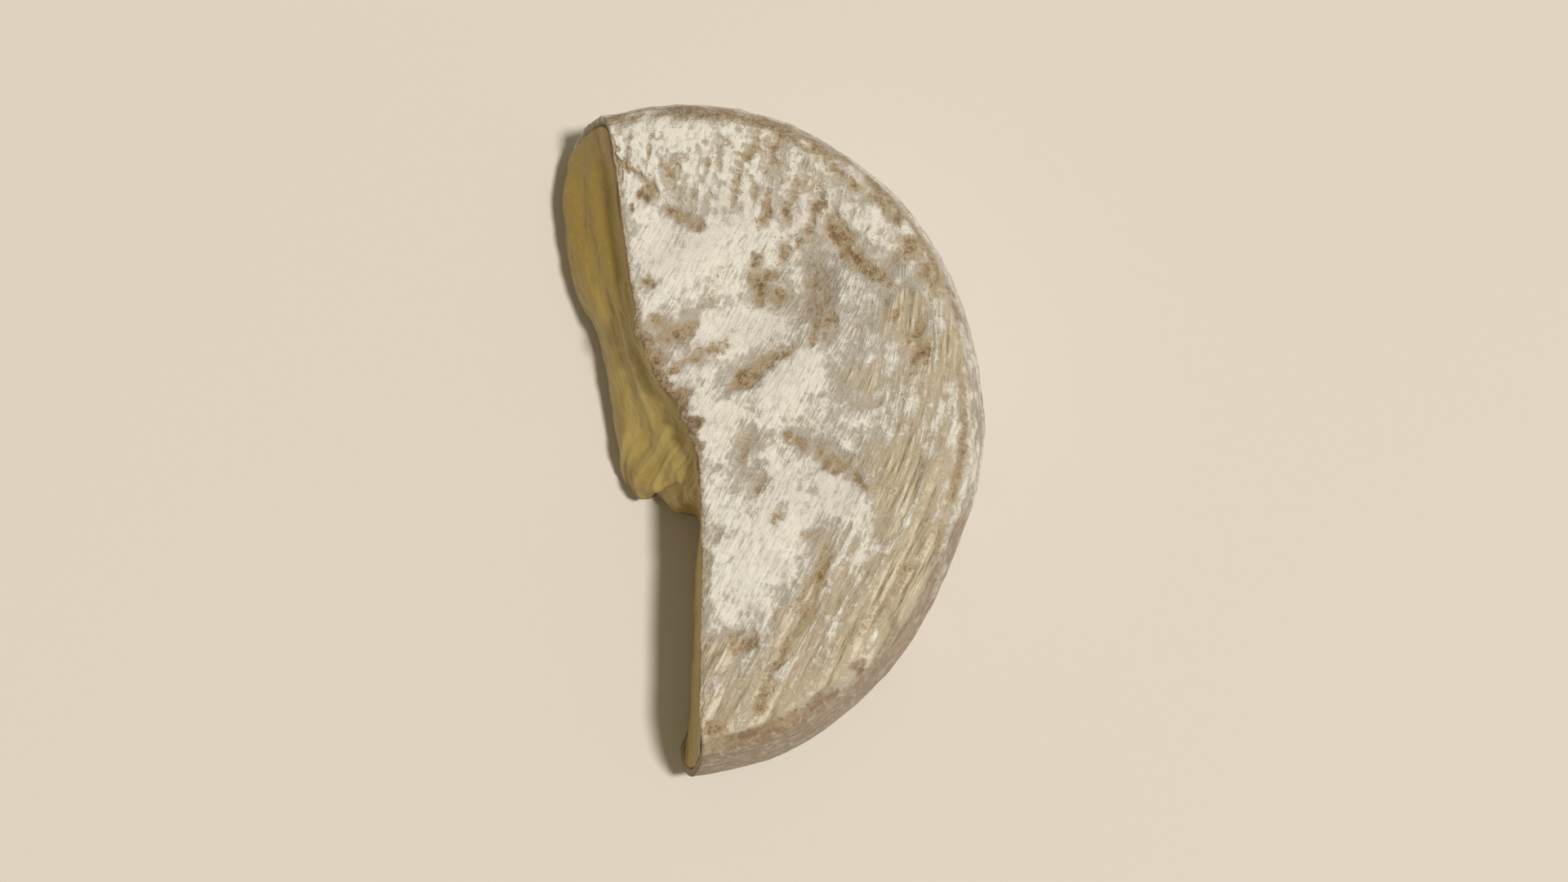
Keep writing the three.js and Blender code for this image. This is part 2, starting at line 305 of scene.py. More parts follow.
STAINS = [  # brown skin laid bare: x, y, half length, half width, angle, strength
    (-5.6, 43.4, 4.6, 0.45, -40, 1),
    (-2.2, 39.4, 1.6, 1.1, 60, 1),
    (-5.4, 36.8, 1.2, 0.7, 80, 0.6),
    (1.4, 43.6, 1.8, 1, 70, 0.6),
    (2, 36, 2.4, 0.8, -25, 0.8),
    (5.6, 34.2, 2, 0.8, -15, 0.6),
    (8.8, 48, 3.6, 0.6, 80, 0.5),
    (12, 41, 3.2, 0.7, 80, 0.7),
    (15.2, 47.5, 3, 0.7, 85, 0.8),
    (18.3, 46, 3.6, 0.8, 78, 0.9),
    (17, 37, 2.6, 0.8, 75, 0.8),
    (20.5, 36.6, 2.4, 0.7, 80, 0.7),
    (22.4, 40.2, 2.4, 0.6, 75, 0.6),
    (25.4, 36.4, 3.8, 0.8, 68, 0.9),
    (28, 35.2, 2.4, 0.8, 70, 0.8),
    (29.4, 32.2, 2.8, 1.3, -55, 1),
    (31.4, 28.8, 2.6, 1.3, -50, 1),
    (34.6, 26.2, 2.6, 1, -30, 1),
    (37.4, 24.6, 1.6, 0.8, -20, 0.7),
    (38.4, 28.4, 2.4, 0.7, 60, 0.7),
    (41.6, 30.4, 3, 0.8, 55, 0.8),
    (43.2, 26.8, 2.2, 1, 60, 0.9),
    (45, 23.4, 2, 0.7, 65, 0.6),
    (15.8, 23.6, 2, 1.3, 65, 1.25),
    (14.6, 25.6, 1, 0.8, 0, 0.9),
    (19, 22.4, 1.3, 0.8, 40, 1.1),
    (18.4, 26.2, 1, 0.7, 30, 0.8),
    (15.6, 28.6, 1.3, 0.8, 50, 0.8),
    (20, 29.6, 1.5, 0.9, 60, 0.8),
    (22.6, 31.6, 1.2, 0.7, 40, 0.6),
    (25.6, 24.4, 1.8, 0.6, -70, 0.45),
    (26.2, 21.6, 2, 0.8, -85, 0.7),
    (28.2, 18.2, 2.4, 0.5, 80, 0.6),
    (25.4, 15.8, 2, 0.6, 50, 0.6),
    (20.4, 12.9, 2.4, 0.7, 30, 0.6),
    (17.2, 11.6, 1.8, 1, 40, 0.9),
    (14.4, 8.9, 2.2, 1.2, 45, 1),
    (11.6, 6.9, 1.6, 0.8, 30, 0.6),
    (38.6, 19.6, 1.6, 0.9, 60, 0.8),
    (41.6, 16.2, 1.9, 1.1, 65, 1),
    (42.9, 12.9, 1.9, 1, 62, 1),
    (40.6, 9.4, 1.6, 0.7, 60, 0.5),
    (-2.4, 24.2, 1.4, 0.9, 20, 0.8),
    (-1, 18, 1.5, 1, 0, 0.8),
    (1.9, 16, 2, 1.2, 10, 1),
    (4.6, 17.4, 1.4, 0.8, 0, 0.7),
    (4.6, 11.6, 5.4, 0.6, 34, 0.8),
    (9.4, 13.2, 2.6, 0.7, 50, 0.7),
    (20.6, -0.9, 0.9, 0.6, -50, 0.9),
    (22.8, -2.3, 0.9, 0.6, -50, 1),
    (25.4, -3.6, 0.8, 0.6, -45, 0.9),
    (27.6, -5.4, 1.4, 0.8, 55, 1),
    (29.6, -6.4, 1.3, 0.7, 60, 1),
    (31.4, -7.6, 1.2, 0.7, -40, 1),
    (33.2, -9.4, 1.1, 0.6, -40, 0.8),
    (36.7, -10.2, 2, 0.7, -40, 0.5),
    (13.6, -3.4, 2.2, 0.9, 80, 0.6),
    (15.4, -9.6, 2.2, 0.9, 70, 0.6),
    (18.8, -14.8, 1.6, 0.7, 70, 0.6),
    (24.4, -17.2, 1.6, 0.7, 25, 0.7),
    (26.4, -19.4, 1.4, 0.6, 50, 0.5),
    (13.8, -35.4, 2.2, 1, 30, 1),
    (11.4, -34.4, 2.4, 0.6, -60, 0.6),
    (26.2, -23.6, 2.6, 0.8, 70, 0.9),
    (24.6, -27.4, 2.4, 0.7, 66, 0.7),
    (23.4, -31.6, 3.6, 0.7, 64, 0.7),
    (19, -38, 4.4, 0.7, 62, 0.8),
    (16, -45, 3.6, 0.8, 66, 0.9),
    (9, -49.4, 1.8, 1.2, 0, 1),
    (39.5, -24, 5.5, 0.8, 57, 0.7),
    (36, -29.5, 4, 0.8, 51, 0.6),
    (43, -18, 3.5, 0.7, 64, 0.5),
    (33, -32.5, 5, 1, 48, 0.5),
]
THIN_BLOOM_AND_SHADE = [  # where the bloom is thin, and the grey of the skin shows through it; at the walls of some hollows this grey is painted shade as well
    (2, 40, 11, 5, -20, 0.25),
    (18, 42, 13, 6, -25, 0.4),
    (17, 24.5, 3.6, 3.2, 60, 0.5),
    # the lower right wall of the largest hollow: thin bloom, and painted shade of the wall
    (26.2, 22.5, 7.5, 2.5, -82, 1.8),
    (18.5, 13, 7, 3.2, 35, 0.55),
    # the upper right wall of the largest hollow: thin bloom, and painted shade of the wall
    (26.5, 31, 5, 2.6, -55, 0.8),
    (34, 26, 9, 4.5, -45, 0.8),
    # right of the largest hollow: thin bloom, and painted shade where a dent's wall is shaded
    (35, 19, 7, 4.5, 0, 0.9),
    (31, 7, 8, 3.5, 62, 0.6),
    (3, 17, 6, 4, 20, 0.6),
    (13, 8.5, 8, 3.2, 35, 0.9),
    (14, -5, 7.5, 3.5, 85, 0.8),
    (28, -4.5, 11, 2.4, -38, 0.7),
    (25, -19, 5, 3, 60, 0.45),
    (22.5, -28, 7, 1.8, 66, 0.9),
    (11, -36, 6, 3.6, 20, 0.9),
    (8, -16, 2.2, 5, 0, 0.4),
    (7.6, -34, 12, 1.3, 90, 0.7),
    (38.5, -25.5, 10, 3, 57, 0.8),
]
BLOOMS = [  # where the white stands thickest
    (-0.8, 30, 6, 3.2, 80, 1),
    (9, 27, 6.5, 4.5, 60, 1),
    (12, 17, 8, 3.4, 15, 1),
    (20, 18, 4.5, 3, 30, 0.35),
    (8, 2.5, 7, 4.5, 70, 1),
    (20.5, 7.5, 7, 3.5, 60, 1),
    (28, -10.5, 6.5, 3.6, -40, 0.8),
    (21, -7.5, 6, 3, -50, 1),
    (15.5, -20, 7.5, 5, 50, 1),
    (34, 34, 6, 2.6, -50, 0.6),
    (5, 50, 6, 2.5, 0, 0.4),
    (33, -20, 5, 3, 60, 0.5),
    (25, -38, 8, 3, 50, 0.4),
    (10, -44, 3.2, 5, 0, 0.35),
    (13, -28, 5, 3, 60, 0.6),
    (5, 4, 5, 2, 75, 0.7),
    (19.8, 28.8, 2.6, 0.8, 15, 1),
    (22.2, 25.6, 2.4, 0.8, -60, 0.9),
    (17.6, 31, 2.2, 0.7, 60, 0.8),
    (13.2, 20.6, 3.4, 1.4, 40, 0.8),
]


def rough(points, size, octaves=4, seed=0.0):
    """Unevenness from about -1 to 1 at each point, its largest lumps of the given size."""
    start = Vector((seed, 2 * seed, -seed))
    flat = points.reshape(-1, 3) / size
    values = [noise.fractal(Vector(p) + start, 1.0, 2.0, octaves) for p in flat]
    return np.array(values).reshape(points.shape[:-1])


def placed(name, data):
    """A new piece, lamp or camera, in the scene."""
    made = bpy.data.objects.new(name, data)
    bpy.context.scene.collection.objects.link(made)
    return made


def skin(name, fronts, backs, traits):
    """A closed mesh between a front sheet and a back sheet, whose rows both run from the base up. Traits are
    values for each point of the two sheets, kept on the mesh for its material."""
    rows, front_steps, back_steps = len(fronts), fronts.shape[1], backs.shape[1]
    front = np.arange(rows * front_steps).reshape(rows, front_steps)
    back = rows * front_steps + np.arange(rows * back_steps).reshape(rows, back_steps)

    def quads(sheet):
        corners = (sheet[:-1, :-1], sheet[1:, :-1], sheet[1:, 1:], sheet[:-1, 1:])
        return np.stack(corners, -1).reshape(-1, 4).tolist()

    faces = quads(front) + quads(back[:, ::-1])
    faces += quads(np.stack([back[:, 0], front[:, 0]], 1)) + quads(np.stack([front[:, -1], back[:, -1]], 1))
    for row in (0, -1):
        runs = [run_along(sheet[row]) for sheet in (fronts, backs)]
        i, j, ends = 0, 0, (front_steps - 1, back_steps - 1)
        while (i, j) != ends:
            if j == ends[1] or (i < ends[0] and runs[0][i + 1] / runs[0][-1] <= runs[1][j + 1] / runs[1][-1]):
                faces.append((front[row, i], front[row, i + 1], back[row, j]))
                i += 1
            else:
                faces.append((front[row, i], back[row, j + 1], back[row, j]))
                j += 1
    mesh = bpy.data.meshes.new(name)
    points = np.concatenate([fronts.reshape(-1, 3), backs.reshape(-1, 3)]) * MM
    mesh.from_pydata(points.tolist(), [], faces)
    for trait, (on_front, on_back) in traits.items():
        kept = mesh.attributes.new(trait, "FLOAT", "POINT")
        kept.data.foreach_set("value", np.concatenate([on_front.ravel(), on_back.ravel()]).astype(np.float32))
    tidy = bmesh.new()
    tidy.from_mesh(mesh)
    bmesh.ops.remove_doubles(tidy, verts=tidy.verts, dist=SAME_POINT * MM)
    bmesh.ops.dissolve_degenerate(tidy, edges=tidy.edges, dist=SAME_POINT * MM)
    bmesh.ops.recalc_face_normals(tidy, faces=tidy.faces)
    tidy.to_mesh(mesh)
    tidy.free()
    mesh.shade_smooth()
    return placed(name, mesh)


# Rows at even distances along the cut.
fine_stations = np.linspace(0, SPANS, FINE_STATIONS)
fine_run = run_along(cut_points(fine_stations, np.array([HEIGHT / 2]))[0][:, 0])
row_share = np.linspace(0, 1, ROWS)
stations = np.interp(row_share * fine_run[-1], fine_run, fine_stations)
cut_edges, cut_out = cut_points(stations, np.array([0.0, HEIGHT]))
torn = smooth(stations, *TORN_START) * (1 - smooth(stations, *TORN_STOP))
edge_noise = rough(np.stack([cut_edges[:, 1, 1], 0 * stations, 0 * stations + 3], -1), size=2.2, octaves=5)
fade_tips = smooth(stations, 0, TIP_FADE) * (1 - smooth(stations, SPANS - TIP_FADE, SPANS))
ragged = (edge_noise * lerp(RAGGED_CUT, RAGGED_TORN, torn) + TORN_OUT * torn) * fade_tips
top_edge = cut_edges[:, 1] + cut_out[:, 1] * ragged[:, None]
base_edge = cut_edges[:, 0]


def level_sheet(start, end, steps):
    """Straight rows of points from one line to another, without the first."""
    share = np.linspace(0, 1, steps + 1)[1:]
    return lerp(start[:, None], end[:, None], share[None, :, None])


def base_sheet(start, end, steps, last_steps):
    """Rows of points under the base, to the edge of the cut. They come to it from a smooth line a little
    inside, so that they don't cross where the edge turns in between the two tongues."""
    weights = np.exp(-((np.arange(-LINE_REACH, LINE_REACH + 1) / LINE_WIDTH) ** 2))
    padded = np.pad(end, ((LINE_REACH, LINE_REACH), (0, 0)), mode="edge")
    line = np.stack([np.convolve(padded[:, n], weights / weights.sum(), "valid") for n in range(3)], 1)
    way = np.gradient(line, axis=0)
    inwards = np.stack([-way[:, 1], way[:, 0], 0 * way[:, 0]], 1) / np.linalg.norm(way, axis=1, keepdims=True)
    off_tips = smooth(stations, 0, 1) * (1 - smooth(stations, SPANS - 1, SPANS))
    line = lerp(end, line + LINE_INSIDE * inwards, off_tips[:, None])
    first = level_sheet(start, line, steps - last_steps)
    return np.concatenate([first, level_sheet(line, end, last_steps)], 1)


def flank_sheet(steps):
    """The flank from tip to tip, before it is lifted, and its normal."""
    pick = np.linspace(0, len(section_z) - 1, steps).round().astype(int)
    inset, z, (outwards, upwards) = section_inset[pick], section_z[pick], section_normal[pick].T
    angle = lerp(tip_angle(UPPER_TIP, z)[None], tip_angle(LOWER_TIP, z)[None], row_share[:, None])
    around = np.stack([np.cos(angle) * outwards, np.sin(angle) * outwards, 0 * angle + upwards], -1)
    return flank_point(angle, inset[None], z[None]), around


flank, flank_normal = flank_sheet(FLANK_STEPS)
flank = lifted(flank)
top = level_sheet(flank[:, -1], top_edge, TOP_STEPS)
top[..., 2] = HEIGHT + relief(top[..., 0], top[..., 1])
base = base_sheet(flank[:, 0], base_edge, BASE_STEPS, last_steps=4)[:, ::-1]
outside = np.concatenate([base, flank, top], 1)
straight_up = np.array([0, 0, 1])
outside_normal = np.concatenate([0 * base - straight_up, flank_normal, 0 * top + straight_up], 1)
on_top = smooth(flank_normal[..., 2], *TOP_LIMIT)
on_top = np.concatenate([0 * base[..., 0], on_top, 1 + 0 * top[..., 0]], 1)

# Where the bloom is thick or thin, and where the skin is bare or stained.
x, y, z = np.moveaxis(outside, -1, 0)
angle_round = np.degrees(np.arctan2(y, x))
facing_up = outside_normal[..., 2]
to_rim = widest(np.radians(angle_round)) - np.hypot(x, y)
broad = rough(outside, size=9, octaves=3, seed=1)
middle = rough(outside, size=2.6, octaves=4, seed=5)
fine = rough(outside, size=1.1, octaves=3, seed=9)
bent = np.stack([x + MARK_BEND * middle, y + MARK_BEND * fine, z], -1)


def field(places, core, rim):
    """1 inside the places, by their strengths, and 0 beyond them."""
    spread = 0 * x
    for mark in places:
        far = oval_distance(bent[..., 0], bent[..., 1], mark)
        spread = np.maximum(spread, mark[5] * (1 - smooth(far, core, rim)))
    return spread


def softened(values, times):
    """The same values, each drawn towards those beside it."""
    for _ in range(times):
        beside = np.pad(values, 1, mode="edge")
        beside = beside[:-2, 1:-1] + beside[2:, 1:-1] + beside[1:-1, :-2] + beside[1:-1, 2:]
        values = (4 * values + beside) / 8
    return values


def laid(angle, bend=0.0):
    """How far along and across the wrapper's straws each point lies, where they lie at this angle. The bend
    turns them to follow the rim on the right."""
    along = x * math.cos(angle) + y * math.sin(angle)
    across = x * math.sin(angle) - y * math.cos(angle)
    return along, across + bend * smooth(x, *BEND_X) * np.maximum(y - BEND_Y, 0) ** 2


def drawn_out(along, across, length, width, seed):
    """Unevenness in streaks of that length and width."""
    return rough(np.stack([along / length, across / width, 0 * along], -1), 1.0, 4, seed)


along, across = laid(STREAK_ANGLE, STREAK_BEND)
upper_along, upper_across = laid(UPPER_STREAK_ANGLE)
around = np.radians(angle_round) * RADIUS
streak = drawn_out(along, across, length=15, width=1.3, seed=13)
upper_streak = drawn_out(upper_along, upper_across, length=5, width=1.1, seed=17)
hoop_streak = drawn_out(around, z, length=12, width=1.4, seed=19)

# The parts of the rind: the rubbed lower right, the bare straw marks by the right rim, and the upper band.
low_right = (1 - smooth(angle_round + 30 * broad + 16 * middle, *LOW_RIGHT)) * (angle_round > PAST_BACK)
wide_flank = 1 - smooth(angle_round + 10 * broad + 5 * middle, *WIDE_FLANK)
worn_right = (1 - wide_flank) * (1 - smooth(angle_round + 6 * broad, *WORN_RIGHT))
flank_limit = lerp(on_top, smooth(facing_up, *WORN_TOP_LIMIT), worn_right)
flank_limit = lerp(flank_limit, smooth(facing_up, *RUBBED_TOP_LIMIT), wide_flank)
on_top = np.where(facing_up > LEVEL, 1, lerp(on_top, flank_limit, low_right))
bare = (1 - smooth(to_rim + 4 * broad, *BARE_DEPTH)) * (1 - smooth(angle_round + 8 * broad, *BARE_ROUND))
bare = bare * on_top
upper = smooth(y + 0.2 * x, *UPPER_BAND)

# The marks, with broken outlines.
broken = smooth(fine + 0.5 * middle, -0.3, 0.3)
marks = field(STAINS, core=0.2, rim=2.1) * (0.74 + 0.58 * broken)
thin_bloom_and_shade = field(THIN_BLOOM_AND_SHADE, core=0.3, rim=1.5)
thick = field(BLOOMS, core=0.2, rim=1.6)

# The brown along the cut, which reaches in with spikes where the rind was torn.
to_cut = np.linalg.norm(outside[..., :2] - top_edge[:, None, :2], axis=-1)
along_edge = run_along(top_edge)[:, None] + 0 * to_cut
spike_place = np.stack([along_edge / SPIKE_WIDTH, to_cut / SPIKE_LENGTH, 0 * to_cut], -1)
spikes = rough(spike_place, size=1.0, octaves=3, seed=41)
torn_width = EDGE_BROWN + torn[:, None] * (TORN_BROWN + SPIKE_BROWN * spikes)
near_cut = (1 - smooth(to_cut / np.maximum(torn_width, 0.3) + 0.4 * fine, 0.4, 1.6)) * on_top

# The stain: marks, specks, the streaks of the upper band, the cut's edge, and a line along the rim.
specks = smooth(fine + 0.6 * middle, 0.25, 0.7) * (0.15 + 0.6 * thin_bloom_and_shade + 0.25 * upper) * (1 - 0.9 * thick)
stain_top = np.maximum(marks, specks)
stain_top = np.maximum(stain_top, upper * 0.75 * smooth(upper_streak, 0.1, 0.55) * smooth(broad, -0.4, 0.3))
stain_top = np.maximum(stain_top, near_cut * (0.5 + 0.45 * torn[:, None]))
widened = smooth(angle_round, *RIM_WIDENS)
from_line = np.abs(facing_up - lerp(*RIM_LINE_AT, worn_right) + 0.1 * broad + 0.05 * middle)
rim_line = 1 - smooth(from_line - lerp(*RIM_LINE_WIDE, widened), 0, 0.12)
rim_line = rim_line * smooth(broad + middle + 0.7 * hoop_streak + 0.3 * widened, -0.6, 0.5)
stain_side = smooth(0.6 * middle + 0.5 * broad + 0.4 * hoop_streak + 0.25 * low_right, 0.1, 0.9)
stain_side = stain_side * (0.5 + 0.5 * fine)
stain = np.maximum(lerp(stain_side, stain_top, on_top), 0.85 * rim_line).clip(0, 1)
stain = softened(stain, times=3)

# The bloom, from 0 for none to 1 for a thick white felt.
mottle = 0.34 * middle + 0.24 * fine + 0.25 * broad
bloom_top = 0.69 + 0.4 * thick - 0.42 * thin_bloom_and_shade - 0.36 * bare - 0.7 * streak * bare
bloom_top = bloom_top + mottle * (1 - 0.5 * bare)
bloom_top = bloom_top + upper * (0.14 + 0.3 * fine - 0.6 * upper_streak)
bloom_side = 0.62 + 0.35 * broad + 0.4 * middle - 0.25 * hoop_streak - 0.68 * low_right
bloom = softened((lerp(bloom_side, bloom_top, on_top) - 0.5 * stain).clip(0, 1), times=2)

# The relief that they make, which fades out at the foot.
lift = BLOOM_THICK * smooth(bloom, 0.15, 0.8) * (1 + 0.5 * fine) - STAIN_DEPTH * stain
lift = lift + on_top * (STREAK_DEPTH * bare * streak + UPPER_STREAK_DEPTH * upper * upper_streak)
lift = lift + LUMP_DEPTH * middle + GRAIN_DEPTH * fine
lift = lift + (1 - on_top) * HOOP_DEPTH * hoop_streak
low_down = 1 - smooth(flank[..., 2], 0, FOOT_FADE)
low_down = np.concatenate([1 + 0 * base[..., 0], low_down, 0 * top[..., 0]], 1)
outside = outside + outside_normal * (softened(lift, times=3) * (1 - low_down))[..., None]
outside[[0, -1], -TOP_STEPS:] = outside[[0, -1], -TOP_STEPS - 1][:, None]  # at the tips the top has no width
downy = smooth(bloom, 0.3, 0.9) * (1 - low_down) * lerp(0.4, 1, on_top) * (1 - 0.6 * bare)

TIP_GAP = 0.1  # the share of the first and last span that the rind's own thickness takes up
NEAR_SKIN = 0.4  # how near to the skin the cut's rows are drawn closer together, so that they don't meet
inner_stations = lerp(TIP_GAP, SPANS - TIP_GAP, stations / SPANS)


def inner_cut(rows, z, depth):
    """The cut in these rows and at these heights, drawn in at the tips to the inside of a skin of that depth,
    and the way out of it."""
    points, out = cut_points(inner_stations[rows], z)
    below = section_z - section_normal[:, 1] * depth
    known = (section_inset, section_normal[:, 0] * depth, section_z)
    inset, across, height = (np.interp(z, below, values) for values in known)
    angle = np.arctan2(points[..., 1], points[..., 0])
    furthest = np.linalg.norm(flank_point(angle, inset, height)[..., :2], axis=-1) - across
    reach = np.linalg.norm(points[..., :2], axis=-1)
    over = np.maximum(reach - furthest + NEAR_SKIN, 0)
    drawn_in = (np.minimum(reach, furthest - NEAR_SKIN) + over / (1 + over / NEAR_SKIN)) / reach
    return points * np.stack([drawn_in, drawn_in, 1 + 0 * drawn_in], -1), out


def inner_sheet(depth, base_steps=8, last_steps=3, flank_steps=14, top_steps=12):
    """The same skin at a depth under the outside, in rows from the base's cut edge to the top's."""
    sheet, around = flank_sheet(flank_steps)
    sheet = sheet - around * depth
    tips = inner_cut([0, -1], sheet[0, :, 2], depth)[0]
    sheet = lifted(sheet)
    sheet[[0, -1]] = tips
    edges = inner_cut(slice(None), np.array([depth, HEIGHT - depth]), depth)[0]
    over = level_sheet(sheet[:, -1], edges[:, 1], top_steps)
    over[:, :-1, 2] = HEIGHT - depth + relief(over[:, :-1, 0], over[:, :-1, 1])
    under = base_sheet(sheet[:, 0], edges[:, 0], base_steps, last_steps)[:, ::-1]
    return np.concatenate([under, sheet, over], 1)


inside = inner_sheet(RIND_THICK)
base_cut = level_sheet(outside[:, 0], inside[:, 0], EDGE_STEPS)[:, :-1]
top_cut = level_sheet(outside[:, -1], inside[:, -1], EDGE_STEPS)[:, -2::-1]
behind = np.concatenate([base_cut, inside, top_cut], 1)
none = 0 * behind[..., 0]
cut_depth = none + 1
cut_depth[:, : EDGE_STEPS - 1] = np.arange(1, EDGE_STEPS) / EDGE_STEPS
cut_depth[:, 1 - EDGE_STEPS :] = np.arange(EDGE_STEPS - 1, 0, -1) / EDGE_STEPS
rind = skin(
    "rind",
    outside,
    behind,
    {
        "bloom": (bloom, none),
        "stain": (stain, none + STAIN_INSIDE),
        "bare": (bare, none),
        "cut": (0 * x, cut_depth),
        "top": (on_top, none),
        "upper": (upper, none),
        "along": (along, none),
        "across": (across, none),
        "around": (around, none),
        "downy": (downy, none),
    },
)


class Wire:
    """One value, colour or vector of a material. A sum, difference or product adds the node for it."""

    def __init__(self, tree, socket=None):
        self.tree, self.socket = tree, socket

    def node(self, kind, settings=None, inputs=None, output=0):
        made = self.tree.nodes.new(kind)
        for name, value in (settings or {}).items():
            setattr(made, name, value)
        for name, value in (inputs or {}).items():
            if isinstance(value, Wire):
                self.tree.links.new(value.socket, made.inputs[name])
            else:
                made.inputs[name].default_value = value
        return None if output is None else Wire(self.tree, made.outputs[output])

    def maths(self, operation, *values):
        return self.node("ShaderNodeMath", {"operation": operation}, dict(enumerate(values)))

    def __add__(self, other):
        return self.maths("ADD", self, other)

    def __sub__(self, other):
        return self.maths("SUBTRACT", self, other)

    def __rsub__(self, other):
        return self.maths("SUBTRACT", other, self)

    def __mul__(self, other):
        return self.maths("MULTIPLY", self, other)

    __radd__, __rmul__ = __add__, __mul__

    def between(self, low, high):
        """0 where the value is below low, 1 above high, and an even curve between them."""
        limits = {"Value": self, "From Min": low, "From Max": high}
        return self.node("ShaderNodeMapRange", {"interpolation_type": "SMOOTHSTEP"}, limits)

    def blend(self, colour, other):
        """The first colour where the value is 0, and the other one where it is 1."""
        return self.node("ShaderNodeMix", {"data_type": "RGBA"}, {0: self, 6: colour, 7: other}, output=2)

    def grain(self, size, detail=3.0, roughness=0.5, curl=0.0):
        """Unevenness from 0 to 1 at this place, in grains of about the given size, curled if wanted."""
        inputs = {"Vector": self, "Scale": 1 / (size * MM), "Detail": detail, "Roughness": roughness}
        return self.node("ShaderNodeTexNoise", {}, {**inputs, "Distortion": curl})

    def raised(self, strength, depth):
        """The normal of a surface that this value raises, at most by the depth."""
        return self.node("ShaderNodeBump", {}, {"Height": self, "Strength": strength, "Distance": depth * MM})

    def trait(self, name, output="Fac"):
        return self.node("ShaderNodeAttribute", {"attribute_name": name}, output=output)

    def into(self, shader, socket):
        self.tree.links.new(self.socket, shader.inputs[socket])


def new_finish(name, everywhere):
    """A material, its shader, and the wire for the place on the piece. Sets what is the same everywhere."""
    material = bpy.data.materials.new(name)
    material.use_nodes = True
    shader = material.node_tree.nodes["Principled BSDF"]
    for socket, value in everywhere.items():
        shader.inputs[socket].default_value = value
    place = Wire(material.node_tree).node("ShaderNodeTexCoord", output="Object")
    return material, shader, place


WHITE_BLOOM = (0.895, 0.86, 0.787, 1)
ROSY_BLOOM = (0.82, 0.765, 0.718, 1)
YELLOW_BLOOM = (0.88, 0.83, 0.715, 1)
# grey of the white felt: its thin places, and painted shade in its low places
THIN_FELT_AND_SHADE = (0.65, 0.605, 0.53, 1)
GREY_BLOOM = (0.54, 0.48, 0.40, 1)
DAMP_SKIN = (0.31, 0.25, 0.185, 1)
CREAM_STRAW = (0.84, 0.76, 0.62, 1)
TAN_STRAW = (0.54, 0.445, 0.31, 1)
DARK_STRAW = (0.25, 0.195, 0.13, 1)
SIDE_SKIN = (0.38, 0.27, 0.17, 1)
SIDE_DARK = (0.26, 0.17, 0.10, 1)
TAN_STAIN = (0.47, 0.365, 0.235, 1)
RUST_STAIN = (0.36, 0.235, 0.12, 1)
BROWN_STAIN = (0.29, 0.205, 0.12, 1)
DARK_STAIN = (0.16, 0.105, 0.058, 1)
CUT_RIND = (0.60, 0.50, 0.34, 1)
CUT_RIND_DARK = (0.38, 0.27, 0.15, 1)

rind_finish, shader, place = new_finish(
    "mould_rind",
    {
        "Sheen Weight": 0.25,
        "Sheen Roughness": 0.6,
        "Sheen Tint": (1, 0.98, 0.94, 1),
        "Specular IOR Level": 0.25,
        "Subsurface Weight": 0.12,
        "Subsurface Radius": (1, 0.7, 0.4),
        "Subsurface Scale": 0.6 * MM,
    },
)
bloom_here, stain_here, bare_here = (place.trait(name) for name in ("bloom", "stain", "bare"))
cut_here, top_here, upper_here = (place.trait(name) for name in ("cut", "top", "upper"))
felt = place.grain(0.4, 4.0, 0.65)
tuft = place.grain(1.5, 4.0, 0.6, 0.8)
grit = place.grain(0.8, 3.0, 0.6)
drift = place.grain(7.0, 3.0, 0.55)
tint = place.grain(11.0, 2.0, 0.5)


def strands(first, second, length, width, curl=0.0):
    """Unevenness from 0 to 1 in strands of that length and width, along the first of two distances in mm."""
    run = place.node("ShaderNodeCombineXYZ", {}, {"X": first * (MM / length), "Y": second * (MM / width)})
    return run.grain(1.0, 5.0, 0.6, curl)


straw_place = place.trait("along"), place.trait("across")
swath = strands(*straw_place, length=24, width=3.4)
straw = strands(*straw_place, length=13, width=0.9)
straw_fibre = strands(*straw_place, length=3.2, width=0.45, curl=0.3)
upright = place.node(
    "ShaderNodeMapping",
    {"vector_type": "TEXTURE"},
    {"Vector": place, "Rotation": (0, 0, UPPER_STREAK_ANGLE), "Scale": (3.5, 1, 1)},
)
upper_fibre = upright.grain(0.8, 5.0, 0.6, 0.3)
height = place.node("ShaderNodeSeparateXYZ", {}, {"Vector": place}, output=2) * (1 / MM)
hoop = strands(place.trait("around"), height, length=10, width=1.1)

fibre = straw_fibre + (upper_fibre - straw_fibre) * upper_here
side_fibre = hoop * 0.4 + tuft * 0.6
fibre = side_fibre + (fibre - side_fibre) * top_here
straw_tone = (swath * 0.45 + straw * 0.4 + straw_fibre * 0.15).between(0.4, 0.6)
straw_colour = straw_tone.between(0.0, 0.45).blend(DARK_STRAW, TAN_STRAW)
straw_colour = straw_tone.between(0.3, 0.9).blend(straw_colour, CREAM_STRAW)
side_colour = (hoop * 0.7 + tuft * 0.3).between(0.38, 0.6).blend(SIDE_DARK, SIDE_SKIN)
damp_colour = (tuft * 0.6 + felt * 0.4).between(0.35, 0.65).blend(DAMP_SKIN, GREY_BLOOM)
straw_shows = (bare_here + upper_here * 0.6 + (drift - 0.5) * 0.8).between(0.1, 0.5)
skin_colour = straw_shows.blend(damp_colour, straw_colour)
skin_colour = (top_here + (drift - 0.5) * 0.4).between(0.2, 0.8).blend(side_colour, skin_colour)
grey_colour = (bare_here * 0.8 + fibre * 0.4).between(0.3, 0.9).blend(GREY_BLOOM, TAN_STRAW)
white = tint.between(0.35, 0.5).blend(ROSY_BLOOM, WHITE_BLOOM)
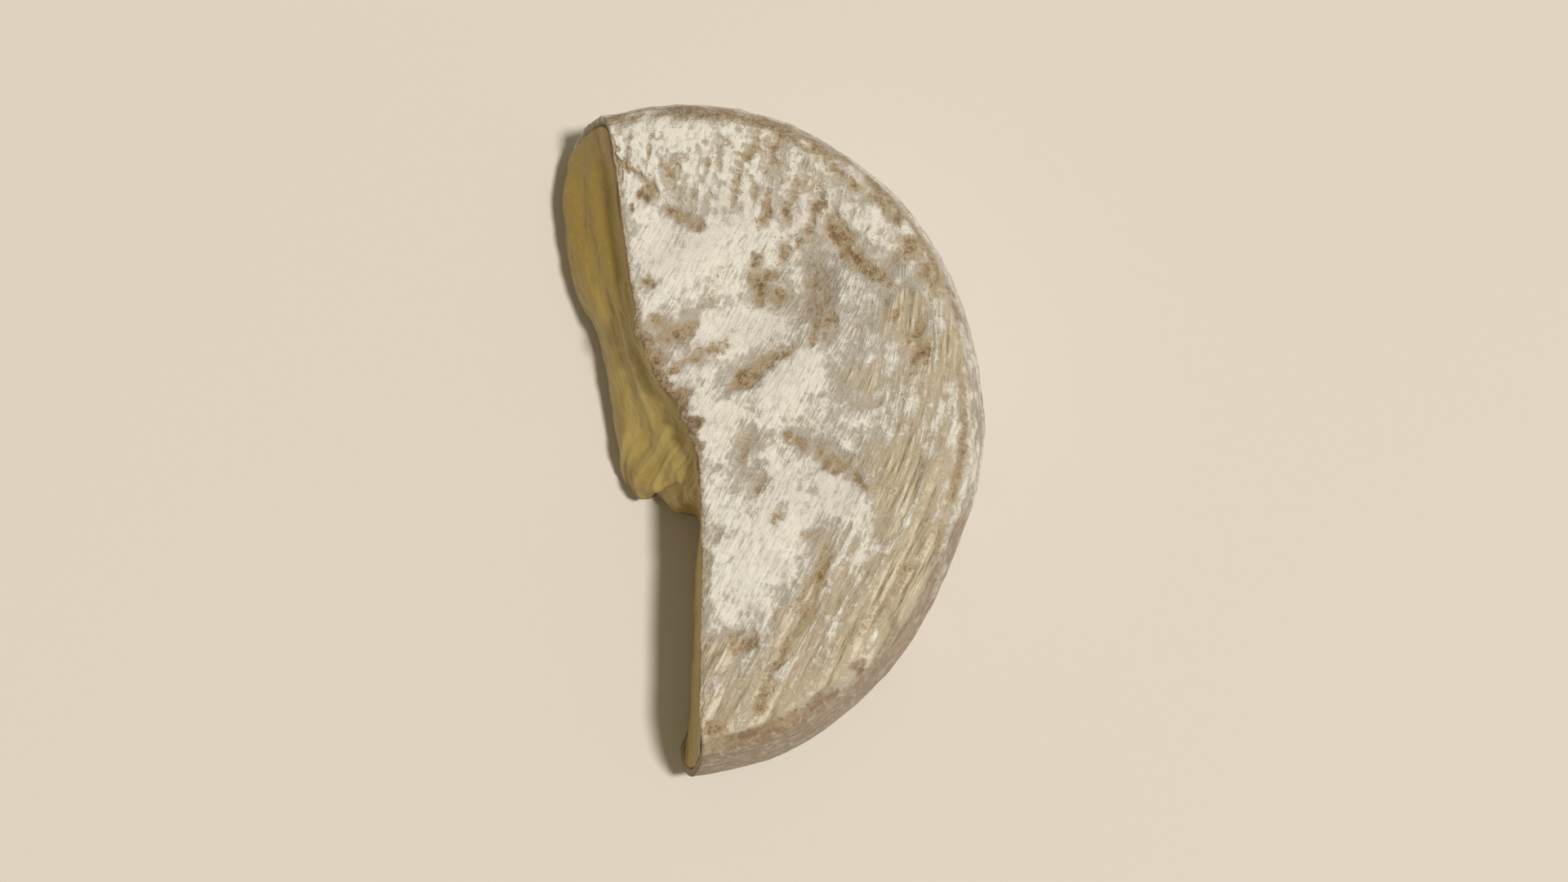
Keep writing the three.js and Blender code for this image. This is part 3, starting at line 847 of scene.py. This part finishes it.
# The white is painted greyer where the felt's fibres and tufts are low: thinner bloom there, and painted
# shade in those low places.
white = (fibre * 0.6 + tuft * 0.4).between(0.33, 0.57).blend(THIN_FELT_AND_SHADE, white)
white = tint.between(0.6, 0.85).blend(white, YELLOW_BLOOM)

cover = bloom_here + (fibre - 0.5) * 1.0 + (tuft - 0.5) * 0.9 + (felt - 0.5) * 0.5
colour = cover.between(-0.05, 0.42).blend(skin_colour, grey_colour)
colour = cover.between(0.28, 0.8).blend(colour, white)
mark = stain_here * 1.1 + (grit - 0.5) * 1.3 + (felt - 0.5) * 0.6 + (fibre - 0.5) * 0.8
brown = drift.between(0.4, 0.6).blend(BROWN_STAIN, RUST_STAIN)
colour = (stain_here.between(0.0, 1.0) * 0.6).blend(colour, TAN_STAIN)
colour = mark.between(0.35, 0.75).blend(colour, TAN_STAIN)
colour = mark.between(0.6, 1.05).blend(colour, brown)
colour = mark.between(0.95, 1.35).blend(colour, DARK_STAIN)
cut_colour = felt.between(0.3, 0.7).blend(CUT_RIND_DARK, CUT_RIND)
colour = (cut_here + (felt - 0.5) * 0.3).between(0.2, 0.7).blend(colour, cut_colour)
colour.into(shader, "Base Color")
(0.95 - 0.2 * stain_here - 0.12 * bare_here).into(shader, "Roughness")
fuzz = felt * 0.9 + 1.4 * tuft + 1.2 * fibre + cover.between(0.2, 0.8) * 0.5 - mark.between(0.3, 0.8) * 0.9
fuzz.raised(strength=0.9, depth=0.28).into(shader, "Normal")
rind.data.materials.append(rind_finish)
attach(rind, "root")
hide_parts(NODE)

# -------------------- the paste
# The ripe inside of the cheese, soft and golden. It fills the rind, and at the cut it stands open: slumped
# and dragged by the knife along the older half, drawn out in two tongues at its end, and clean on the newer.
FACE_STEPS = 110
BULGE = 0.4  # how far the soft paste stands out of the rind's cut edge
LINE_DEPTH = 0.3  # depth of the lines that the knife drew along the face
LINE_PITCH, LINE_LENGTH = 2.1, 17
OLDER_LINES = (14, 28)  # how far along the cut, from the upper tip, the lines grow to their full depth
PALE_PASTE = (16, 40)  # and how far along it the paste becomes paler
FAN_START, FAN_END = (5.2, 7), (10, 11)  # stations between which the lines turn down into the tongues
FAN_SLOPE = 1.6  # how steeply they turn down
PASTE_LUMP, PASTE_GRAIN = 0.3, 0.07  # depth of its lumps and of its grain
EDGE_ROUND = 0.9  # how near to the rind the paste stops standing out of it
EDGE_DARK = 3.5  # how far from the rind the paste is painted darker: painted shade under the rind's edges
PASTE_GAP = 0.03  # the air between the paste and the inside of the rind
PASTE_GOLD = (0.44, 0.31, 0.056, 1)
PASTE_DEEP = (0.40, 0.265, 0.056, 1)
PASTE_PALE = (0.605, 0.485, 0.188, 1)
# the paste's colour where the rind shades it: painted shade
PASTE_RIND_SHADE = (0.36, 0.235, 0.08, 1)

face_z = np.linspace(RIND_THICK, HEIGHT - RIND_THICK, FACE_STEPS)
face, face_out = inner_cut(slice(None), face_z, RIND_THICK)
older = (1 - smooth(inner_stations, *OLDER_END))[:, None]
along_cut = run_along(cut_points(inner_stations, np.array([HEIGHT / 2]))[0][:, 0])[:, None]
fan = (smooth(inner_stations, *FAN_START) * (1 - smooth(inner_stations, *FAN_END)))[:, None]
turned_down = np.concatenate([[[0.0]], np.cumsum(np.diff(along_cut, axis=0) * fan[1:], axis=0)])
line_height = face_z + FAN_SLOPE * turned_down
none = 0 * line_height
lines = np.stack([along_cut / LINE_LENGTH + none, line_height / LINE_PITCH, none], -1)
ridge = rough(lines, size=1.0, octaves=2, seed=21)
crease = 1 - smooth(np.abs(rough(lines, size=1.3, octaves=2, seed=33)), 0, 0.3)
lump = rough(face, size=4.5, octaves=3, seed=25)
grainy = rough(face, size=1.2, octaves=2, seed=27)
dragged = smooth(along_cut, *OLDER_LINES) * older
drawn_depth = LINE_DEPTH * (lerp(0.4, 0.9, dragged) + 1.4 * fan)
swell = BULGE * lerp(0.4, 1, older) + drawn_depth * (0.8 * ridge - 0.15 * crease)
swell = swell + PASTE_LUMP * lump + PASTE_GRAIN * grainy
over_foot, under_top = (face_z - RIND_THICK)[None], (HEIGHT - RIND_THICK - face_z)[None]
face = face + face_out * (swell * smooth(np.minimum(over_foot, under_top), 0, EDGE_ROUND))[..., None]
core = inner_sheet(RIND_THICK + PASTE_GAP)
# Painted shade: the paste is darker near the rind's edges at the top and the base, and darker still on the
# newer half, where the rind and the steep face shade it.
painted_rind_shade = 1 - smooth(np.minimum(0.8 * over_foot, under_top), 0, EDGE_DARK) * lerp(0.7, 1, older)
hidden = 0 * core[..., 0]
paste = skin(
    "paste",
    face,
    core,
    {
        "painted_rind_shade": (painted_rind_shade, hidden + 1),
        # the creases and ridges are kept for the colour, which paints shade in the creases and highlights on
        # the ridges
        "crease": (crease * lerp(0.1, 1, dragged), hidden),
        "ridge": (ridge * (0.4 + 0.6 * fan), hidden),
        "pale": (smooth(along_cut, *PALE_PASTE) * lerp(0.25, 1, older) + none, hidden),
        "along": (along_cut + none, hidden),
        "up": (line_height, hidden),
    },
)
paste_finish, shader, place = new_finish(
    "ripe_paste",
    {
        "Subsurface Weight": 0.35,
        "Subsurface Radius": (1, 0.6, 0.2),
        "Subsurface Scale": 1.5 * MM,
        "Coat Roughness": 0.3,
        "IOR": 1.45,
    },
)
line_place = place.trait("along"), place.trait("up")
drawn_line = strands(*line_place, length=24, width=2.6, curl=0.4)
fine_line = strands(*line_place, length=7, width=0.6, curl=0.3)
speck = place.grain(0.35, 4.0, 0.65)
fleck = place.grain(0.8, 4.0, 0.7)
pore = place.grain(1.6, 3.0, 0.55, 0.5)
cloud = place.grain(8.0, 3.0, 0.5)
tone = drawn_line * 0.3 + fine_line * 0.2 + cloud * 0.35 + pore * 0.15
# Creases are painted darker, as painted shade, and ridges lighter, as painted highlights.
tone = tone - place.trait("crease") * 0.06 + place.trait("ridge") * 0.12
light_paste = place.trait("pale").blend(PASTE_GOLD, PASTE_PALE)
colour = tone.between(0.28, 0.68).blend(PASTE_DEEP, light_paste)
colour = (fleck.between(0.45, 0.75) * 0.25).blend(colour, PASTE_PALE)
# the painted shade near the rind, broken up by the cloud
colour = (place.trait("painted_rind_shade") + (cloud - 0.5) * 0.5).between(0.15, 1.0).blend(colour, PASTE_RIND_SHADE)
colour.into(shader, "Base Color")
(0.42 + 0.25 * speck).into(shader, "Roughness")
(0.05 + 0.2 * speck).into(shader, "Coat Weight")
surface = 0.5 * drawn_line + 0.4 * fine_line + 0.35 * speck + 0.7 * pore
surface.raised(strength=0.7, depth=0.25).into(shader, "Normal")
paste.data.materials.append(paste_finish)
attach(paste, "root")
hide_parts(NODE)

# -------------------- the down
# The finest threads of the mould, about half a millimetre long. They grow on the rind where its bloom is
# thick, lean in tufts the way that the wrapper combed them, and make it look like felt.
DOWN_SPACING = 0.165  # the least distance between two threads
DOWN_SHORTEST, DOWN_LONGEST = (0.014, 0.014, 0.3), (0.024, 0.02, 0.75)  # half thickness, the same, length
DOWN_RISE = 0.32  # how steeply the threads stand up from the rind
DOWN_COMB = (math.cos(STREAK_ANGLE), math.sin(STREAK_ANGLE), 0)
DOWN_CURL, DOWN_CURL_SIZE = 2.6, 2.2  # how far the tufts turn from the comb's way, and their size
DOWN_SINK = 0.08  # how deep their roots are in the rind
DOWN_CROWD = 2.0e7  # the most threads to a square metre
DOWN_STRAY = (0.35, 0.35, 0.2)  # how far each thread strays from its tuft, either way

down_tree = bpy.data.node_groups.new("mould_down", "GeometryNodeTree")
down_tree.interface.new_socket("Rind", in_out="INPUT", socket_type="NodeSocketGeometry")
down_sizes = {
    "Spacing": DOWN_SPACING * MM,
    "Rise": DOWN_RISE,
    "Curl": DOWN_CURL,
    "Curl size": DOWN_CURL_SIZE * MM,
}
for name in down_sizes:
    down_tree.interface.new_socket(name, in_out="INPUT", socket_type="NodeSocketFloat")
down_tree.interface.new_socket("Down", in_out="OUTPUT", socket_type="NodeSocketGeometry")
start = Wire(down_tree)
rind_in, spacing, rise, curl, curl_size = (start.node("NodeGroupInput", output=n) for n in range(5))


def vector_maths(operation, *values, scale=None):
    inputs = dict(enumerate(values)) if scale is None else {0: values[0], "Scale": scale}
    return start.node("ShaderNodeVectorMath", {"operation": operation}, inputs)


def scattered(low, high, seed):
    """A vector between the two, another one for each thread."""
    limits = {0: low, 1: high, "Seed": seed}
    return start.node("FunctionNodeRandomValue", {"data_type": "FLOAT_VECTOR"}, limits)


downy_here = start.node("GeometryNodeInputNamedAttribute", {"data_type": "FLOAT"}, {"Name": "downy"})
roots = start.node(
    "GeometryNodeDistributePointsOnFaces",
    {"distribute_method": "POISSON"},
    {
        "Mesh": rind_in,
        "Distance Min": spacing,
        "Density Max": DOWN_CROWD,
        "Density Factor": downy_here,
        "Seed": 4,
    },
)
outwards = Wire(down_tree, roots.socket.node.outputs["Normal"])
position = start.node("GeometryNodeInputPosition")
swirl_inputs = {"Vector": position, "Scale": start.maths("DIVIDE", 1.0, curl_size), "Detail": 2.0}
swirl = start.node("ShaderNodeTexNoise", {}, swirl_inputs, output=1)
swirl = vector_maths("SUBTRACT", swirl, (0.5, 0.5, 0.5))
stray = scattered([-v for v in DOWN_STRAY], DOWN_STRAY, seed=5)
lean = vector_maths("ADD", vector_maths("SCALE", swirl, scale=curl), vector_maths("ADD", stray, DOWN_COMB))
flat_lean = vector_maths("SUBTRACT", lean, vector_maths("PROJECT", lean, outwards))
lean = vector_maths("ADD", vector_maths("NORMALIZE", flat_lean), vector_maths("SCALE", outwards, scale=rise))
turned = start.node("FunctionNodeAlignEulerToVector", {"axis": "Z"}, {"Vector": lean})
thread = start.node(
    "GeometryNodeMeshCone",
    {"fill_type": "NGON"},
    {"Vertices": 3, "Side Segments": 1, "Radius Top": 0.0, "Radius Bottom": 1.0, "Depth": 1.0},
)
sizes = scattered([v * MM for v in DOWN_SHORTEST], [v * MM for v in DOWN_LONGEST], seed=6)
sunk = vector_maths("SCALE", outwards, scale=-DOWN_SINK * MM)
roots = start.node("GeometryNodeSetPosition", {}, {"Geometry": roots, "Offset": sunk})
thread_inputs = {"Points": roots, "Instance": thread, "Rotation": turned, "Scale": sizes}
grown = start.node("GeometryNodeInstanceOnPoints", {}, thread_inputs)
grown = start.node("GeometryNodeRealizeInstances", {}, {"Geometry": grown})
grown = start.node("GeometryNodeSetShadeSmooth", {}, {0: grown})

down_finish, shader, place = new_finish(
    "mould_down",
    {
        "Roughness": 0.95,
        "Sheen Weight": 0.2,
        "Sheen Roughness": 0.6,
        "Specular IOR Level": 0.2,
        "Subsurface Weight": 0.8,
        "Subsurface Radius": (1, 0.9, 0.7),
        "Subsurface Scale": 0.4 * MM,
    },
)
tone = place.trait("bloom") * 0.7 + (place.grain(1.5, 3.0) - 0.5) * 0.6
tone.between(0.1, 0.6).blend(GREY_BLOOM, WHITE_BLOOM).into(shader, "Base Color")
grown = start.node("GeometryNodeSetMaterial", {}, {"Geometry": grown, "Material": down_finish})
start.node("NodeGroupOutput", {}, {"Down": grown}, output=None)

down = placed("down", rind.data.copy())
growth = down.modifiers.new("mould_down", "NODES")
growth.node_group = down_tree
for socket in down_tree.interface.items_tree:
    if socket.name in down_sizes:
        growth[socket.identifier] = down_sizes[socket.name]
grown_mesh = bpy.data.meshes.new_from_object(down.evaluated_get(bpy.context.evaluated_depsgraph_get()))
down.modifiers.remove(growth)
down.data = grown_mesh
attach(down, "root")
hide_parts(NODE)

# -------------------- floor, light and camera
# A plain pale floor, one soft lamp high on the right, and a camera almost straight above.
FLOOR_SIZE = 3000
FLOOR_COLOUR, FLOOR_ROUGH = (0.72, 0.665, 0.60, 1), 0.6
LOOK_AT = (20, 0, 14)
CAMERA_RISE, CAMERA_FAR, CAMERA_LENS = math.radians(82), 800, 110
KEY_RISE, KEY_ROUND = math.radians(72), math.radians(-15)  # where the lamp stands: above the floor, and round
KEY_STRENGTH, KEY_SPREAD, KEY_COLOUR = 2.5, math.radians(6), (1, 0.97, 0.92)
SKY_STRENGTH, SKY_COLOUR = 0.25, (1, 0.89, 0.62, 1)

floor_mesh = bpy.data.meshes.new("floor")
half = FLOOR_SIZE / 2 * MM
floor_corners = [(-half, -half, 0), (half, -half, 0), (half, half, 0), (-half, half, 0)]
floor_mesh.from_pydata(floor_corners, [], [(0, 1, 2, 3)])
floor = placed("floor", floor_mesh)
floor.location.z = node_low.z
floor_finish = new_finish("floor", {"Base Color": FLOOR_COLOUR, "Roughness": FLOOR_ROUGH})[0]
floor_mesh.materials.append(floor_finish)
floor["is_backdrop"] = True

target = Vector(LOOK_AT) * MM
eye = target + CAMERA_FAR * MM * Vector((0, -math.cos(CAMERA_RISE), math.sin(CAMERA_RISE)))
camera = placed("camera", bpy.data.cameras.new("camera"))
camera.data.lens = CAMERA_LENS
camera.location = eye
camera.rotation_euler = (target - eye).to_track_quat("-Z", "Y").to_euler()
bpy.context.scene.camera = camera

key = placed("key", bpy.data.lights.new("key", "SUN"))
key.data.energy = KEY_STRENGTH
key.data.angle = KEY_SPREAD
key.data.color = KEY_COLOUR
level = math.cos(KEY_RISE)
key_from = Vector((level * math.cos(KEY_ROUND), level * math.sin(KEY_ROUND), math.sin(KEY_RISE)))
key.rotation_euler = key_from.to_track_quat("Z", "Y").to_euler()
world = bpy.data.worlds.new("studio")
bpy.context.scene.world = world
world.use_nodes = True
sky = world.node_tree.nodes["Background"].inputs
sky["Color"].default_value = SKY_COLOUR
sky["Strength"].default_value = SKY_STRENGTH
bpy.context.scene.view_settings.view_transform = "Standard"

visual_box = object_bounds()
sizes = {"cad": [list(corner) for corner in cad_box], "visual": [list(corner) for corner in visual_box]}
